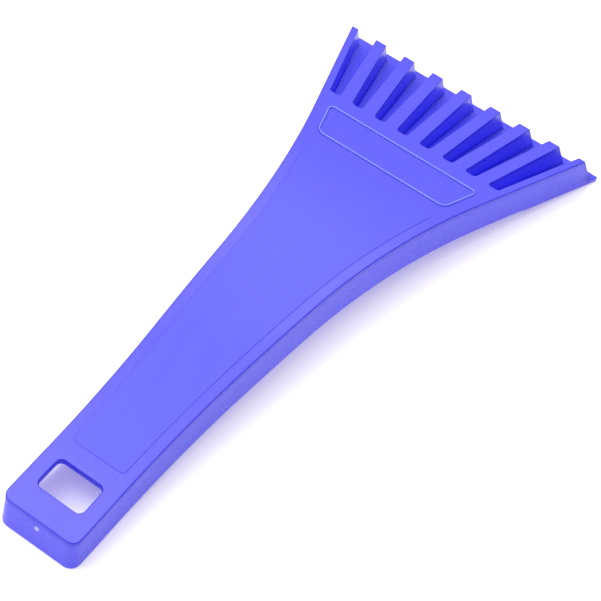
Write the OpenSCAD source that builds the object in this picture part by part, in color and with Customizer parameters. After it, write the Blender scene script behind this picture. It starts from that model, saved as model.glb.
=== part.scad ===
// Windshield ice scraper: an open-bottomed plastic shell with a flat handle, a flared head,
// a fan of ice-breaking ribs and a sloping scraper blade.
// X runs along the handle towards the blade, Y across it, Z up. The scraper stands on its tail
// and its blade, with the origin under the middle of its outer box.

/* [Overall] */
// Length of the flat top, from the tail to the scraping edge
top_length = 226; // [188:1:272]
// Width of the flat top at the tail
tail_width = 24.5; // [20:0.5:32]
// Width of the top's outline, carried on to the scraping edge
head_width = 96.8; // [80:0.4:118]

/* [Plan outline] */
// Length of the handle, from the tail, whose sides run parallel
parallel_length = 19; // [8:1:30]
// Distance from the tail at which the handle's sides are straight again
taper_start = 68; // [40:1:90]
// Angle of each of the handle's sides to its centre line
taper_angle = 4.8; // [2:0.1:7]
// Distance from the tail at which the head starts to flare
flare_start = 99; // [80:1:120]
// Length of the head's straight sides, up to the scraping edge
head_straight = 54; // [50:1:70]
// Corner radius of the tail, in plan
tail_corner = 2.8; // [2:0.1:6]

/* [Side profile] */
// Height of the top at the tail
tail_height = 11.4; // [9:0.1:16]
// Slope of the top where it rises from the tail, in degrees
top_rise = 6.4; // [4:0.1:9]
// Distance from the tail at which the top starts to bend over
top_bend_start = 63; // [30:1:90]
// Length of the top's straight fall to the scraping edge
top_fall_length = 59; // [50:1:80]
// Height of the top's plane, carried on to the scraping edge
head_height = 11.9; // [10:0.1:18]
// Slope of the lower edge where it rises from the tail, in degrees
foot_rise = 5.6; // [2:0.05:6]
// Distance from the tail at which the lower edge starts to bend over
foot_bend_start = 58; // [20:1:70]
// Length of the lower edge's straight fall to the scraping edge
foot_fall_length = 42; // [30:1:70]

/* [Shell] */
// Thickness of the flat top
top_thickness = 2; // [1.4:0.1:3]
// Thickness of the side and tail walls
wall_thickness = 1.8; // [1.2:0.1:2.6]
// Draft of the walls, in degrees
wall_draft = 2.9; // [0.5:0.1:5]

/* [Hang hole] */
// Distance from the tail to the hole
hole_setback = 8; // [6:0.1:12]
// Size of the hole along the handle
hole_length = 10; // [6:0.1:14]
// Size of the hole across the handle
hole_width = 14.9; // [8:0.1:15]
// Corner radius of the hole
hole_corner = 1.8; // [0.8:0.1:2.5]

/* [Grip panel] */
// Distance from the hole to the panel
panel_gap = 5.9; // [4:0.1:20]
// Distance from the panel's head end to the scraping edge
panel_end = 70.6; // [66:0.2:110]
// Width of the border between the panel and the top's outline
panel_inset = 3.5; // [2.5:0.1:5]
// Corner radius of the panel
panel_corner = 1.6; // [1:0.1:4]
// Depth of the pocket that the panel sits in
panel_seat = 0.8; // [0.4:0.05:1.2]
// Height that the panel stands above the top
panel_proud = 0.15; // [0.05:0.05:0.4]

/* [Label frame] */
// Distance from the frame's blade side to the scraping edge
frame_end = 50.1; // [46:0.1:51]
// Size of the frame along the handle
frame_length = 14.8; // [8:0.1:15]
// Width of the margin between the frame and the top's outline
frame_inset = 4.4; // [3:0.1:8]
// Width of the frame's raised line
frame_line = 0.9; // [0.5:0.05:1.6]
// Height of the frame's raised line
frame_proud = 0.5; // [0.2:0.05:1]
// Outside corner radius of the frame
frame_corner = 2.6; // [2:0.1:4]

/* [Ribs and blade] */
// Number of ice-breaking ribs
rib_count = 9; // [5:1:11]
// Length of the grooves between the ribs, from the scraping edge
groove_length = 44.2; // [36:0.1:45]
// Depth of the grooves at their closed end
groove_end_depth = 5.5; // [3:0.1:6.5]
// Distance from the scraping edge to the tips of the ribs
tip_setback = 8.7; // [7:0.1:14]
// Distance from the scraping edge to the front feet of the ribs
foot_setback = 3.5; // [2:0.1:6]
// Width of a rib's top at the closed end of the grooves
rib_width = 4.86; // [3:0.02:5.2]
// Width of a rib's top at its tip
rib_tip_width = 4.06; // [2:0.02:4.4]
// Width of an outermost rib's top at the closed end of the grooves
outer_rib_width = 2.75; // [2:0.05:4]
// Width of an outermost rib's top at its tip
outer_rib_tip_width = 2.5; // [1.4:0.05:3]
// Draft of the ribs' sides, in degrees
rib_draft = 4.5; // [1:0.1:6]
// Thickness of the blade, and so of its scraping edge
blade_thickness = 1.8; // [1.2:0.1:2.4]
// Distance from the scraping edge to the back of the cheeks beside the blade
cheek_length = 34.5; // [20:0.5:40]
// Amount that a cheek stands out at its back end
cheek_step = 0.35; // [0.2:0.05:0.6]
// Amount that a cheek stands out at the scraping edge
cheek_flare = 0.55; // [0.3:0.05:1.2]

/* [Gate mark] */
// Radius of the moulding gate's stub on the tail
gate_radius = 0.8; // [0.4:0.05:1.2]
// Height of the stub's centre above the tail's lower edge
gate_height = 7.9; // [4:0.1:8.5]
// Length of the stub
gate_length = 0.3; // [0.1:0.05:0.4]

/* [Hidden] */
INNER_RIBS = [for (i = [2 : rib_count - 1]) str("ice_rib_", i)];

plastic = [0.30, 0.30, 0.98];
panel_plastic = [0.42, 0.43, 0.99];
gate_plastic = [0.72, 0.72, 1.00];

// Facets: along the body, along the ribs and round each quarter corner
body_steps = 48;
rib_steps = 6;
corner_steps = 8;
// How far cutting solids run past what they cut
over = 5;

half_tail = tail_width / 2;
half_head = head_width / 2;
rib_start = top_length - groove_length;
rib_tip = top_length - tip_setback;
rib_foot = top_length - foot_setback;
groove_count = rib_count - 1;

// Zero up to a, a parabola from a to b, and a straight line of slope 1 from b on
function ramp(x, a, b) = x < a ? 0 : x < b ? pow(x - a, 2) / (2 * (b - a)) : x - (a + b) / 2;

// Half of the top's width at x, without the tail's rounded corners
taper = tan(taper_angle);
head_bend_end = top_length - head_straight;
function tapered(x) = half_tail + taper * ramp(x, parallel_length, taper_start);
flare = (half_head - tapered(top_length)) / ramp(top_length, flare_start, head_bend_end);
function half_width(x) = tapered(x) + flare * ramp(x, flare_start, head_bend_end);

// Height of the top at x, and of its underside
top_slope = tan(top_rise);
top_bend_end = top_length - top_fall_length;
top_bend = (tail_height + top_slope * top_length - head_height)
    / ramp(top_length, top_bend_start, top_bend_end);
function top_z(x) = tail_height + top_slope * x - top_bend * ramp(x, top_bend_start, top_bend_end);
function under_z(x) = top_z(x) - top_thickness;

// Height of the walls' lower edge at x: nought at the tail and at the scraping edge
foot_slope = tan(foot_rise);
foot_bend_end = top_length - foot_fall_length;
foot_bend = foot_slope * top_length / ramp(top_length, foot_bend_start, foot_bend_end);
function foot_z(x) = foot_slope * x - foot_bend * ramp(x, foot_bend_start, foot_bend_end);

// Height of the grooves' floor at x, which is the blade's upper face, and of its underside
floor_slope = (top_z(rib_start) - groove_end_depth - blade_thickness) / groove_length;
function floor_z(x) = blade_thickness + floor_slope * (top_length - x);
function blade_under_z(x) = floor_z(x) - blade_thickness;

// Drafted outer face of the walls: distance from the centre line at x and height z
function side_slope(x) = (half_width(x + 0.5) - half_width(x - 0.5));
function slant(x) = sqrt(1 + pow(side_slope(x), 2));
function side_y(x, z) = half_width(x) + tan(wall_draft) * (under_z(x) - z) * slant(x);

// Steps from a to b, both included
function steps(a, b, n) = [for (i = [0 : n]) a + (b - a) * i / n];
body_x = steps(tail_corner, rib_start, body_steps);
head_x = steps(rib_start, top_length, rib_steps);

// How far the tail reaches past the start of the top, and the outer box's middle
tail_reach = max(tan(wall_draft) * under_z(0), gate_reach(gate_height));
function tail_face(z) = tan(wall_draft) * (under_z(0) - z);
function gate_reach(z) = tail_face(z) + gate_length + gate_radius * sin(wall_draft);
middle_x = (top_length - tail_reach) / 2;

// A closed solid through a row of sections with the same number of points
module loft(sections) {
    n = len(sections[0]);
    last = len(sections) - 1;
    sides = [for (s = [0 : last - 1]) for (i = [0 : n - 1]) let (j = (i + 1) % n)
        [s * n + i, s * n + j, (s + 1) * n + j, (s + 1) * n + i]];
    halves = [for (q = sides) for (t = [[q[0], q[1], q[2]], [q[0], q[2], q[3]]]) t];
    start = [for (i = [n - 1 : -1 : 0]) i];
    end = [for (i = [0 : n - 1]) last * n + i];
    polyhedron(points = [for (s = sections) for (p = s) p], faces = concat(halves, [start, end]));
}

// A slab across the whole body between two heights that depend on x
module band(xs, upper, lower) {
    outline = concat([for (p = upper) p], [for (i = [len(lower) - 1 : -1 : 0]) lower[i]]);
    rotate([90, 0, 0])
        linear_extrude(height = head_width + 2 * over, center = true)
            polygon(outline);
}

// Points of the top's surface, moved by dz, as seen from the side
function top_line(dz) = [for (x = concat([-over], body_x, [rib_start + over])) [x, top_z(x) + dz]];

// Amount that a rounded corner takes off a side, at distance d from the end
function corner_drop(d, r) = d >= r ? 0 : r - sqrt(r * r - pow(r - d, 2));

// Distances from an end at which a rounded corner has its points
function corner_x(r) = [for (i = [0 : corner_steps - 1]) r * (1 - cos(90 * i / corner_steps))];

// A closed outline from x and half-width pairs, the same on both sides
function both_sides(pairs) = concat(pairs, [for (i = [len(pairs) - 1 : -1 : 0]) [pairs[i][0], -pairs[i][1]]]);

// Half-widths along a strip from a to b that keeps a margin to the top's outline
function strip(a, b, margin, r) = let (
    front = [for (d = corner_x(r)) a + d],
    middle = [for (x = body_x) if (x > a + r && x < b - r) x],
    back = [for (d = corner_x(r)) b - d]
) [for (x = concat(front, [a + r], middle, [b - r], [for (i = [len(back) - 1 : -1 : 0]) back[i]]))
    [x, half_width(x) - margin - corner_drop(x - a, r) - corner_drop(b - x, r)]];

module rounded_rectangle(size_x, size_y, r) {
    square([size_x - 2 * r, size_y], center = true);
    square([size_x, size_y - 2 * r], center = true);
    for (sx = [-1, 1]) for (sy = [-1, 1])
        translate([sx * (size_x / 2 - r), sy * (size_y / 2 - r)]) circle(r = r, $fn = 32);
}

// Everything is drawn from the tail on, then moved over the origin
module placed() translate([-middle_x, 0, 0]) children();

module deck_outline() {
    tail = [for (d = corner_x(tail_corner)) [d, half_tail - corner_drop(d, tail_corner)]];
    polygon(both_sides(concat(tail, [for (x = body_x) [x, half_width(x)]])));
}

panel_start = hole_setback + hole_length + panel_gap;
module panel_outline() polygon(both_sides(strip(panel_start, top_length - panel_end, panel_inset, panel_corner)));

module top_deck() color(plastic) placed() difference() {
    intersection() {
        linear_extrude(height = 2 * tail_height + 2 * head_height) deck_outline();
        band(body_x, top_line(0), top_line(-top_thickness));
    }
    translate([hole_setback + hole_length / 2, 0, -over])
        linear_extrude(height = 2 * tail_height + 2 * over)
            rounded_rectangle(hole_length, hole_width, hole_corner);
    intersection() {
        linear_extrude(height = 2 * tail_height + 2 * head_height) panel_outline();
        band(body_x, top_line(over), top_line(-panel_seat));
    }
}

module grip_panel() color(panel_plastic) placed() intersection() {
    linear_extrude(height = 2 * tail_height + 2 * head_height) panel_outline();
    band(body_x, top_line(panel_proud), top_line(-panel_seat));
}

frame_start = top_length - frame_end - frame_length;
module frame_outline(line)
    polygon(both_sides(strip(frame_start + line, frame_start + frame_length - line,
        frame_inset + line * slant(frame_start), frame_corner - line)));

module label_frame() color(plastic) placed() intersection() {
    linear_extrude(height = 2 * tail_height + 2 * head_height) difference() {
        frame_outline(0);
        frame_outline(frame_line);
    }
    band(body_x, top_line(frame_proud), top_line(0));
}

// The right-hand pieces are the left-hand ones turned over
module right_hand() mirror([0, 1, 0]) children();

// Outline points of half the tail with their outward normals: side 1 is the left, -1 the right
function tail_arc(side) = [for (i = [0 : corner_steps]) let (a = 90 + 90 * i / corner_steps)
    [tail_corner * (1 + cos(a)), side * (half_tail - tail_corner + tail_corner * sin(a)), cos(a), side * sin(a)]];
function reversed(list) = [for (i = [len(list) - 1 : -1 : 0]) list[i]];

// A wall's section under the outline point p: outer top, inner top, inner foot, outer foot
function wall_section(p, top, foot) = let (
    out = tan(wall_draft) * (top - foot),
    at = function(d, z) [p[0] + p[2] * d, p[1] + p[3] * d, z]
) [at(0, top), at(-wall_thickness, top), at(out - wall_thickness, foot), at(out, foot)];

module tail_wall() color(plastic) placed() {
    path = concat(tail_arc(-1), reversed(tail_arc(1)));
    loft([for (p = path) wall_section(p, under_z(p[0]), foot_z(p[0]))]);
}

// A side wall's section at x, between two heights
function side_section(x, top, foot) = let (inside = wall_thickness * slant(x)) [
    [x, side_y(x, foot), foot],
    [x, side_y(x, foot) - inside, foot],
    [x, side_y(x, top) - inside, top],
    [x, side_y(x, top), top]
];

// The walls end before the blade's underside comes down to their lower edge
wall_setback = 4;
wall_end = top_length - wall_setback;
module left_side_wall() color(plastic) placed() {
    loft([for (x = body_x) side_section(x, under_z(x), foot_z(x))]);
    loft([for (x = steps(rib_start, wall_end, rib_steps)) side_section(x, blade_under_z(x), foot_z(x))]);
}
module right_side_wall() right_hand() left_side_wall();

module groove_end_wall() color(plastic) placed() {
    back = rib_start - wall_thickness;
    inset = wall_thickness * slant(rib_start);
    bottom = blade_under_z(rib_start);
    loft([for (x = [back, rib_start]) [
        [x, side_y(x, under_z(x)) - inset, under_z(x)],
        [x, inset - side_y(x, under_z(x)), under_z(x)],
        [x, inset - side_y(x, bottom), bottom],
        [x, side_y(x, bottom) - inset, bottom]
    ]]);
}

module scraper_blade() color(plastic) placed()
    loft([for (x = head_x) [
        [x, side_y(x, floor_z(x)), floor_z(x)],
        [x, -side_y(x, floor_z(x)), floor_z(x)],
        [x, -side_y(x, blade_under_z(x)), blade_under_z(x)],
        [x, side_y(x, blade_under_z(x)), blade_under_z(x)]
    ]]);

// Each cheek is a thin wedge outside the wall, from a fine ledge at floor level down to its
// stepped lower edge. Both stand out more and more towards the scraping edge
cheek_start = top_length - cheek_length;
cheek_ledge = 0.05;
function cheek_out(x, from) = from + (cheek_flare - from) * pow((x - cheek_start) / cheek_length, 2);
module left_blade_cheek() color(plastic) placed()
    loft([for (x = steps(cheek_start, top_length, rib_steps)) [
        [x, side_y(x, foot_z(x)) + cheek_out(x, cheek_step), foot_z(x)],
        [x, side_y(x, foot_z(x)), foot_z(x)],
        [x, side_y(x, floor_z(x)), floor_z(x)],
        [x, side_y(x, floor_z(x)) + cheek_out(x, cheek_ledge), floor_z(x)]
    ]]);
module right_blade_cheek() right_hand() left_blade_cheek();

// A value that runs straight from the grooves' closed end to the ribs' tips
function along_rib(x, from, to) = from + (to - from) * (x - rib_start) / (rib_tip - rib_start);

// Half of the ribbed width between the outermost ribs, and the distance between rib centres
function fan_half(x) = half_width(x) - along_rib(x, outer_rib_width, outer_rib_tip_width);
function rib_top_width(x) = along_rib(x, rib_width, rib_tip_width);
function rib_pitch(x) = (fan_half(x) + rib_top_width(x) / 2) / (groove_count / 2);

// Height of a rib's top: along the flat top to the tip, then down its front
front_land = 0.2;
rib_x = concat(steps(rib_start, rib_tip, rib_steps), [rib_foot]);
function rib_z(x) = x <= rib_tip ? top_z(x) : floor_z(x) + front_land;
function rib_spread(x) = tan(rib_draft) * (top_z(x) - floor_z(x));
function rib_crest_spread(x) = tan(rib_draft) * (top_z(x) - rib_z(x));

module inner_rib(number) color(plastic) placed() {
    place = (rib_count + 1) / 2 - number;
    loft([for (x = rib_x) let (
        y = place * rib_pitch(x),
        crest = rib_top_width(x) / 2 + rib_crest_spread(x),
        base = rib_top_width(x) / 2 + rib_spread(x)
    ) [[x, y + crest, rib_z(x)], [x, y - crest, rib_z(x)], [x, y - base, floor_z(x)], [x, y + base, floor_z(x)]]]);
}

// The outermost ribs follow the head's sides
module left_outer_rib() color(plastic) placed()
    loft([for (x = rib_x) [
        [x, min(half_width(x), side_y(x, rib_z(x))), rib_z(x)],
        [x, fan_half(x) - rib_crest_spread(x), rib_z(x)],
        [x, fan_half(x) - rib_spread(x), floor_z(x)],
        [x, side_y(x, floor_z(x)), floor_z(x)]
    ]]);

module gate_mark() color(gate_plastic) placed()
    translate([-tail_face(gate_height), 0, gate_height])
        rotate([0, -90 + wall_draft, 0])
            cylinder(r = gate_radius, h = gate_length, $fn = 32);

top_deck();
left_side_wall();
right_side_wall();
tail_wall();
groove_end_wall();
scraper_blade();
left_blade_cheek();
right_blade_cheek();
grip_panel();
label_frame();
gate_mark();
left_outer_rib();  // ice_rib_1
for (i = [2 : rib_count - 1]) inner_rib(i);
right_hand() left_outer_rib();
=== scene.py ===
from math import cos, pi, radians, sin, sqrt, tan

import bmesh
import bpy
from bpy.props import FloatProperty, FloatVectorProperty, PointerProperty
from bpy.types import Operator, Panel, PropertyGroup
from mathutils import Matrix, Vector


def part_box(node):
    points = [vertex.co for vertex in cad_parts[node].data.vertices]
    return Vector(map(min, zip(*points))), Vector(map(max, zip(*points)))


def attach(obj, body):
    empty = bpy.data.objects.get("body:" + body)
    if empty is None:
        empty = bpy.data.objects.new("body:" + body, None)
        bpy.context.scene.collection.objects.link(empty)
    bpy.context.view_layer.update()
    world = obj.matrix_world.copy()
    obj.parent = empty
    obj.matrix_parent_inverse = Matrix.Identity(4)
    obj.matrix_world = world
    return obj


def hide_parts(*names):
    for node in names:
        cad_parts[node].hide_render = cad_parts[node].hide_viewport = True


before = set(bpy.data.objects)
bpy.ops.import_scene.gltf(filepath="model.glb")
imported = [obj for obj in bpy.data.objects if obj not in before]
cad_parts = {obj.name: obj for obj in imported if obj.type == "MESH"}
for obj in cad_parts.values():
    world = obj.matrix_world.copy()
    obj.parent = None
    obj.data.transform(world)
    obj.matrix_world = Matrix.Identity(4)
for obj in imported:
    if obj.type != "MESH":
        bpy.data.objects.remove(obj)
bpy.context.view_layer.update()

bl_info = {
    "name": "Ice Scraper",
    "version": (1, 0, 0),
    "blender": (4, 5, 0),
    "location": "3D View > Sidebar > Ice Scraper",
    "description": "Builds a moulded plastic windshield ice scraper over its CAD frame",
    "category": "Add Mesh",
}

BODY = "root"
MM = 0.001
# name of the point attribute that says how much painted shade an upper edge gets
PAINTED_SHADE_ATTRIBUTE = "edge"
SUNK = 0.3 * MM  # how deep a piece's hidden base reaches into the one it stands on

RIB_NODES = sorted(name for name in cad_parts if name.startswith("ice_rib_"))
TAIL_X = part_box("top_deck")[0][0]
RIB_ROOT_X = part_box("top_deck")[1][0]
SCRAPING_EDGE_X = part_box("scraper_blade")[1][0]


# Sizes and colours ---------------------------------------------------------------------------


def length(name, millimetres, description):
    """A length property whose default is given in millimetres."""
    return FloatProperty(
        name=name,
        description=description,
        default=millimetres * MM,
        min=0.0,
        precision=5,
        subtype="DISTANCE",
        unit="LENGTH",
    )


def angle(name, degrees, description):
    """An angle property whose default is given in degrees."""
    return FloatProperty(
        name=name,
        description=description,
        default=radians(degrees),
        subtype="ANGLE",
        unit="ROTATION",
    )


def number(name, default, description, top=1000.0):
    """A plain number property between nought and the given top."""
    return FloatProperty(name=name, description=description, default=default, min=0.0, max=top)


def colour(name, default, description):
    """A linear RGB colour property."""
    return FloatVectorProperty(
        name=name,
        description=description,
        default=default,
        min=0.0,
        max=1.0,
        size=3,
        subtype="COLOR",
    )


class ScraperOutline(PropertyGroup):
    """Sizes of the flat top as seen from above, measured from the tail."""

    top_length: length("Top length", (SCRAPING_EDGE_X - TAIL_X) / MM, "Tail to scraping edge")
    tail_width: length("Tail width", 24.5, "Width of the top at the tail")
    head_width: length("Head width", 96.8, "Width of the top's outline at the scraping edge")
    parallel_length: length("Parallel length", 19, "Handle length whose sides are parallel")
    taper_start: length("Taper start", 68, "Where the handle's sides are straight again")
    taper_angle: angle("Taper angle", 4.8, "Angle of a handle side to the centre line")
    flare_start: length("Flare start", 99, "Where the head starts to flare")
    head_straight: length("Straight head sides", 54, "Length of the head's straight sides")
    tail_corner: length("Tail corner", 2.8, "Corner radius of the tail")
    blade_corner: length("Blade corner", 0.45, "How far the scraping edge is swept back at its corners")
    blade_sweep: length("Blade sweep", 3.6, "How far the swept part runs along the scraping edge")


class ScraperProfile(PropertyGroup):
    """Heights and slopes of the body as seen from the side, and the thickness of its walls."""

    tail_height: length("Tail height", 11.4, "Height of the top at the tail")
    top_rise: angle("Top rise", 6.4, "Slope of the top at the tail")
    top_bend_start: length("Top bend start", 63, "Where the top starts to bend over")
    top_fall_length: length("Top fall length", 59, "Length of the top's straight fall to the edge")
    head_height: length("Head height", 11.9, "Height of the top's plane at the scraping edge")
    foot_rise: angle("Foot rise", 5.6, "Slope of the lower edge at the tail")
    foot_bend_start: length("Foot bend start", 58, "Where the lower edge starts to bend over")
    foot_fall_length: length("Foot fall length", 42, "Length of the lower edge's straight fall")
    top_thickness: length("Top thickness", 2, "Thickness of the flat top")
    wall_thickness: length("Wall thickness", 1.8, "Thickness of the side and tail walls")
    wall_draft: angle("Wall draft", 2.9, "Draft of the walls")
    top_edge: length("Top edge radius", 0.38, "Radius of the edge between top and walls")
    blade_edge: length("Blade edge radius", 0.2, "Radius of the blade's upper edge")
    foot_edge: length("Foot edge radius", 0.3, "Radius of the walls' lower edges")
    hollow_fillet: length("Hollow fillet", 0.7, "Radius inside the hollow, under the top")


class ScraperHead(PropertyGroup):
    """Sizes of the ice ribs, the grooves between them and the blade."""

    groove_length: length("Groove length", (SCRAPING_EDGE_X - RIB_ROOT_X) / MM, "Length of the grooves")
    groove_end_depth: length("Groove end depth", 5.5, "Depth of the grooves at their closed end")
    tip_setback: length("Tip setback", 8.7, "From the scraping edge to the ribs' tips")
    foot_setback: length("Foot setback", 3.5, "From the scraping edge to the ribs' front feet")
    rib_width: length("Rib width", 4.86, "Width of a rib's top at the closed end")
    rib_tip_width: length("Rib tip width", 4.06, "Width of a rib's top at its tip")
    outer_rib_width: length("Outer rib width", 2.75, "The same, of an outermost rib at the closed end")
    outer_rib_tip_width: length("Outer rib tip width", 2.5, "The same, of an outermost rib at its tip")
    rib_draft: angle("Rib draft", 4.5, "Draft of the ribs' sides")
    blade_thickness: length("Blade thickness", 1.8, "Thickness of the blade")
    cheek_length: length("Cheek length", 34.5, "From the scraping edge to the back of the cheeks")
    cheek_step: length("Cheek step", 0.35, "How far a cheek stands out at its back end")
    cheek_flare: length("Cheek flare", 0.55, "How far a cheek stands out at the scraping edge")
    rib_edge: length("Rib edge radius", 0.22, "Radius of the ribs' upper edges")
    rib_fillet: length("Rib fillet", 0.4, "Radius where the ribs meet the groove floor")
    groove_corner: length("Groove corner", 1.1, "Corner radius of the grooves' closed ends")
    rib_nose: length("Rib nose", 0.28, "Corner radius of the ribs' front ends")


class ScraperTrim(PropertyGroup):
    """Sizes of the hang hole, the grip panel, the label frame and the gate mark."""

    hole_setback: length("Hole setback", 8, "From the tail to the hang hole")
    hole_length: length("Hole length", 10.0, "Size of the hole along the handle")
    hole_width: length("Hole width", 14.9, "Size of the hole across the handle")
    hole_corner: length("Hole corner", 1.8, "Corner radius of the hole")
    hole_lip: length("Hole lip", 0.4, "Radius of the hole's rim")
    panel_gap: length("Panel gap", 5.9, "From the hole to the grip panel")
    panel_end: length("Panel end", 70.6, "From the panel's head end to the scraping edge")
    panel_inset: length("Panel inset", 3.5, "Border between the panel and the top's outline")
    panel_corner: length("Panel corner", 1.6, "Corner radius of the panel")
    panel_proud: length("Panel height", 0.14, "How far the panel stands above the top")
    frame_end: length("Frame end", 50.1, "From the frame's blade side to the scraping edge")
    frame_length: length("Frame length", 14.8, "Size of the frame along the handle")
    frame_inset: length("Frame inset", 4.4, "Margin between the frame and the top's outline")
    frame_line: length("Frame line", 0.9, "Width of the frame's raised line")
    frame_proud: length("Frame height", 0.5, "Height of the frame's raised line")
    frame_corner: length("Frame corner", 2.6, "Outside corner radius of the frame")
    gate_radius: length("Gate radius", 0.8, "Radius of the gate mark")
    gate_height: length("Gate height", 7.9, "Height of the gate mark above the tail's foot")
    gate_length: length("Gate length", 0.3, "How far the gate mark stands out")


class ScraperLooks(PropertyGroup):
    """Colours of the plastic and of the stage, with painted shade along upper edges, a painted highlight on
    the frame's line and a painted blue glow.
    """

    shell: colour("Shell", (0.112, 0.103, 0.86), "Glossy plastic of the shell, the ribs and the blade")
    panel: colour("Panel", (0.103, 0.104, 0.87), "Satin plastic of the grip panel")
    scuff: colour("Scuff", (0.42, 0.44, 0.97), "Whitened plastic of fine scuffs")
    gate: colour("Gate", (0.62, 0.66, 0.98), "Whitened plastic of the sheared gate")
    # painted highlight: the frame's line is the shell's plastic, painted lighter to stand in for the
    # highlights along its rounded sides
    ridge_highlight: colour("Ridge", (0.27, 0.31, 0.90), "Lighter plastic of the label frame's fine line")
    floor: colour("Floor", (0.93, 0.93, 0.935), "Pale studio floor")
    floor_glow: colour("Floor glow", (0.24, 0.21, 0.18), "Light that the lit table sends up")
    # painted light: a blue emission on the plastic that stands in for light carried through it, so the
    # plastic glows without a lamp
    glow: colour("Glow", (0.0, 0.0, 1.0), "Light that wanders inside the plastic")
    painted_glow_strength: number("Glow strength", 0.09, "Strength of the glow")
    # painted shade: how much darker the plastic is painted along its upper edges
    painted_edge_shade: number("Edge shade", 1.0, "How much darker edges are", 1.0)
    translucency: number("Translucency", 0.25, "Share of light let through", 1.0)


class ScraperStage(PropertyGroup):
    """Camera and light."""

    aim: FloatVectorProperty(
        name="Aim",
        description="Point the camera looks at",
        default=(-0.0064, -0.0093, 0.0125),
        size=3,
        subtype="TRANSLATION",
        unit="LENGTH",
    )
    distance: length("Distance", 521.0, "From the camera to the point it looks at")
    heading: angle("Heading", 203.60, "Direction from the scraper to the camera, from +X")
    elevation: angle("Elevation", 48.91, "Height of the camera above the horizon")
    roll: angle("Roll", 14.34, "Turn of the camera about its own axis")
    focal_length: number("Lens", 107.75, "Focal length in millimetres")
    horizon: number("Horizon", 0.10, "Strength of the surroundings at the horizon")
    zenith: number("Zenith", 1.25, "Strength of the surroundings overhead")
    key: number("Key", 9.0, "Power of the main soft light, in watts")
    fill: number("Fill", 1.0, "Power of the light above the blade, in watts")


class ScraperSettings(PropertyGroup):
    """All the settings of one scraper."""

    outline: PointerProperty(type=ScraperOutline)
    profile: PointerProperty(type=ScraperProfile)
    head: PointerProperty(type=ScraperHead)
    trim: PointerProperty(type=ScraperTrim)
    looks: PointerProperty(type=ScraperLooks)
    stage: PointerProperty(type=ScraperStage)


# The scraper's form as formulas -----------------------------------------------------------------


def ramp(x, start, end):
    """Nought up to start, a parabola up to end, and a straight line of slope 1 from there."""
    if x < start:
        return 0.0
    if x < end:
        return (x - start) ** 2 / (2 * (end - start))
    return x - (start + end) / 2


def mix(a, b, share):
    """The value or point that lies the given share of the way from a to b."""
    return a + (b - a) * share


def evenly(start, end, count):
    """count + 1 values or points from start to end."""
    return [mix(start, end, step / count) for step in range(count + 1)]


def clamp(share):
    """The value, kept between nought and one."""
    return min(max(share, 0.0), 1.0)


CHEEK_FADE = 0.3 * MM  # height above the blade's floor over which a cheek runs out
LEAST_HEIGHT = 0.1 * MM


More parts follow.
